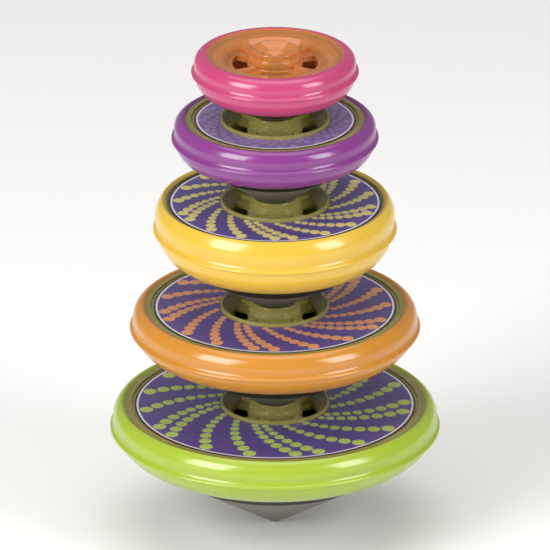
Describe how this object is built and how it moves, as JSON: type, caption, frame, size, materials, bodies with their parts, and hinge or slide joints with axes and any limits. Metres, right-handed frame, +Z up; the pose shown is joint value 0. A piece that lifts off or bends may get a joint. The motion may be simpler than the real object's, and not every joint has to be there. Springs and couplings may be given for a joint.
{
  "type": "spinning top",
  "caption": "Spinning tops of falling size standing on one another, each with a cone nose, steel ball tip, coloured rim and a hub with a seat for the next tip.",
  "frame": {"origin": "lowest point of the bottom top's steel ball, on the stack's axis", "axes": "+Z up the stack's axis, from the largest top to the smallest; +X and +Y pass through the middle of two of the windows in each well"},
  "size_m": [0.102, 0.102, 0.1578],
  "materials": {
    "green_abs": "glossy moulded ABS, coloured through",
    "orange_abs": "glossy moulded ABS, coloured through",
    "yellow_abs": "glossy moulded ABS, coloured through",
    "purple_abs": "glossy moulded ABS, coloured through",
    "pink_abs": "glossy moulded ABS, coloured through",
    "smoke_polycarbonate": "clear olive-amber polycarbonate, polished mould",
    "printed_foil": "violet foil film printed with rows of growing dots, thin white border",
    "zinc_plated_steel": "zinc plated",
    "black_abs": "satin moulded ABS",
    "grey_abs": "fine-spark moulded ABS",
    "ball_steel": "polished bearing ball"
  },
  "bodies": {
    "green_ball": {"green_ball_tip": "ball_steel"},
    "green_top": {"green_rim_shell": "green_abs", "green_rim_band": "green_abs", "green_weight_ring": "zinc_plated_steel", "green_core": "smoke_polycarbonate", "green_label": "printed_foil", "green_collar": "black_abs", "green_nose": "grey_abs"},
    "orange_ball": {"orange_ball_tip": "ball_steel"},
    "orange_top": {"orange_rim_shell": "orange_abs", "orange_rim_band": "orange_abs", "orange_weight_ring": "zinc_plated_steel", "orange_core": "smoke_polycarbonate", "orange_label": "printed_foil", "orange_collar": "black_abs", "orange_nose": "grey_abs"},
    "yellow_ball": {"yellow_ball_tip": "ball_steel"},
    "yellow_top": {"yellow_rim_shell": "yellow_abs", "yellow_rim_band": "yellow_abs", "yellow_weight_ring": "zinc_plated_steel", "yellow_core": "smoke_polycarbonate", "yellow_label": "printed_foil", "yellow_collar": "black_abs", "yellow_nose": "grey_abs"},
    "purple_ball": {"purple_ball_tip": "ball_steel"},
    "purple_top": {"purple_rim_shell": "purple_abs", "purple_rim_band": "purple_abs", "purple_weight_ring": "zinc_plated_steel", "purple_core": "smoke_polycarbonate", "purple_label": "printed_foil", "purple_collar": "black_abs", "purple_nose": "grey_abs"},
    "pink_ball": {"pink_ball_tip": "ball_steel"},
    "pink_top": {"pink_rim_shell": "pink_abs", "pink_rim_band": "pink_abs", "pink_weight_ring": "zinc_plated_steel", "pink_core": "smoke_polycarbonate", "pink_collar": "black_abs", "pink_nose": "grey_abs"}
  },
  "joints": [
    {"name": "green_spin", "type": "hinge", "parent": "green_ball", "child": "green_top", "pos_m": [0, 0, 0.001], "axis": [0, 0, 1], "continuous": true},
    {"name": "orange_lift", "type": "slide", "parent": "green_top", "child": "orange_ball", "axis": [0, 0, 1], "range_m": [0, 0.03]},
    {"name": "orange_spin", "type": "hinge", "parent": "orange_ball", "child": "orange_top", "pos_m": [0, 0, 0.0394], "axis": [0, 0, 1], "continuous": true},
    {"name": "yellow_lift", "type": "slide", "parent": "orange_top", "child": "yellow_ball", "axis": [0, 0, 1], "range_m": [0, 0.03]},
    {"name": "yellow_spin", "type": "hinge", "parent": "yellow_ball", "child": "yellow_top", "pos_m": [0, 0, 0.072], "axis": [0, 0, 1], "continuous": true},
    {"name": "purple_lift", "type": "slide", "parent": "yellow_top", "child": "purple_ball", "axis": [0, 0, 1], "range_m": [0, 0.03]},
    {"name": "purple_spin", "type": "hinge", "parent": "purple_ball", "child": "purple_top", "pos_m": [0, 0, 0.1067], "axis": [0, 0, 1], "continuous": true},
    {"name": "pink_lift", "type": "slide", "parent": "purple_top", "child": "pink_ball", "axis": [0, 0, 1], "range_m": [0, 0.03]},
    {"name": "pink_spin", "type": "hinge", "parent": "pink_ball", "child": "pink_top", "pos_m": [0, 0, 0.1339], "axis": [0, 0, 1], "continuous": true}
  ]
}
